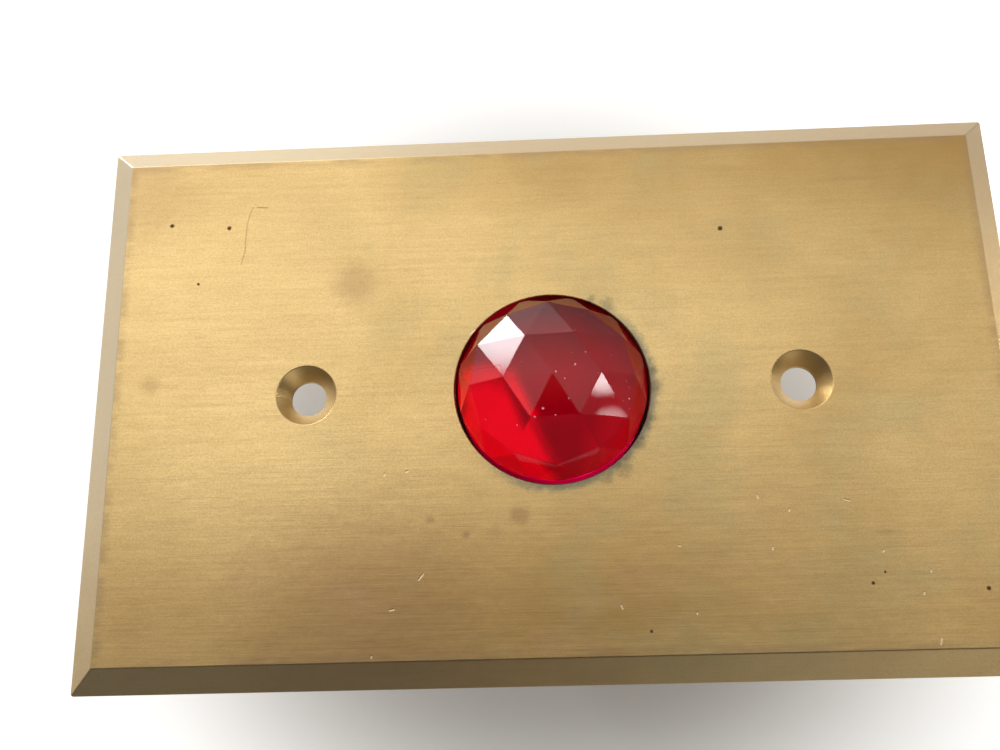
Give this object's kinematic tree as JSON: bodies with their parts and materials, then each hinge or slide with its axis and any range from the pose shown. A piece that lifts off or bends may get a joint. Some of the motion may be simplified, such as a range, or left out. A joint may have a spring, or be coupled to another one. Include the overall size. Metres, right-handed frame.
{
  "type": "push button",
  "caption": "Jewelled push button: faceted red glass cap in a bevelled brass wall plate, on a sprung stem that closes a contact behind the plate.",
  "frame": {"origin": "centre of the plate's back face, midway between the two screw holes and on the button's axis", "axes": "+X along the plate's long side, +Y across it, +Z out of the wall along the button's axis"},
  "size_m": [0.1142, 0.0698, 0.0403],
  "materials": {
    "aged_brass": "satin, brushed along the long side, tarnished",
    "ruby_glass": "pressed and fire-polished, deep red",
    "turned_brass": "turned, lightly tarnished",
    "stud_brass": "drawn rod, dull",
    "terminal_brass": "bright stamped strip",
    "phosphor_bronze": "rolled spring bronze",
    "copper_rivet": "headed wire, dull",
    "silver_contact": "fine silver, lightly tarnished",
    "tinned": "bright tinned sheet",
    "cork": "granulated cork",
    "red_fibre": "vulcanised fibre, matt",
    "grey_fibre": "vulcanised fibre, matt",
    "spring_wire": "oiled music wire",
    "zinc_steel": "zinc plated, dull",
    "blued_clip": "blackened spring steel",
    "brown_bakelite": "moulded phenolic, semi-gloss",
    "black_bakelite": "moulded phenolic, semi-gloss"
  },
  "bodies": {
    "plate": {"face_plate": "aged_brass", "stop_washer": "red_fibre", "guide_barrel": "turned_brass", "return_spring": "spring_wire", "contact_base": "brown_bakelite", "guide_bush": "turned_brass", "fixed_contact_left": "terminal_brass", "fixed_contact_right": "terminal_brass", "contact_buttons": "silver_contact", "terminal_inserts": "turned_brass", "terminal_screws": "zinc_steel", "terminal_clamps": "terminal_brass", "mounting_studs": "stud_brass", "spacer_tubes": "stud_brass", "stud_washers": "zinc_steel", "stud_lock_washers": "zinc_steel", "stud_nuts": "terminal_brass"},
    "button": {"jewel": "ruby_glass", "jewel_holder": "turned_brass", "jewel_cushion": "cork", "reflector": "tinned", "plunger_stem": "turned_brass", "stem_nut": "terminal_brass", "stem_lock_washer": "zinc_steel", "contact_carrier": "black_bakelite", "contact_ring": "phosphor_bronze", "contact_ring_rivets": "copper_rivet", "stem_end_washer": "grey_fibre", "retaining_clip": "blued_clip"}
  },
  "joints": [
    {"name": "button_press", "type": "slide", "parent": "plate", "child": "button", "axis": [0, 0, -1], "range_m": [0, 0.0025], "stiffness_N_per_m": 640, "springref_m": -0.0037, "deforming": ["return_spring"]}
  ]
}
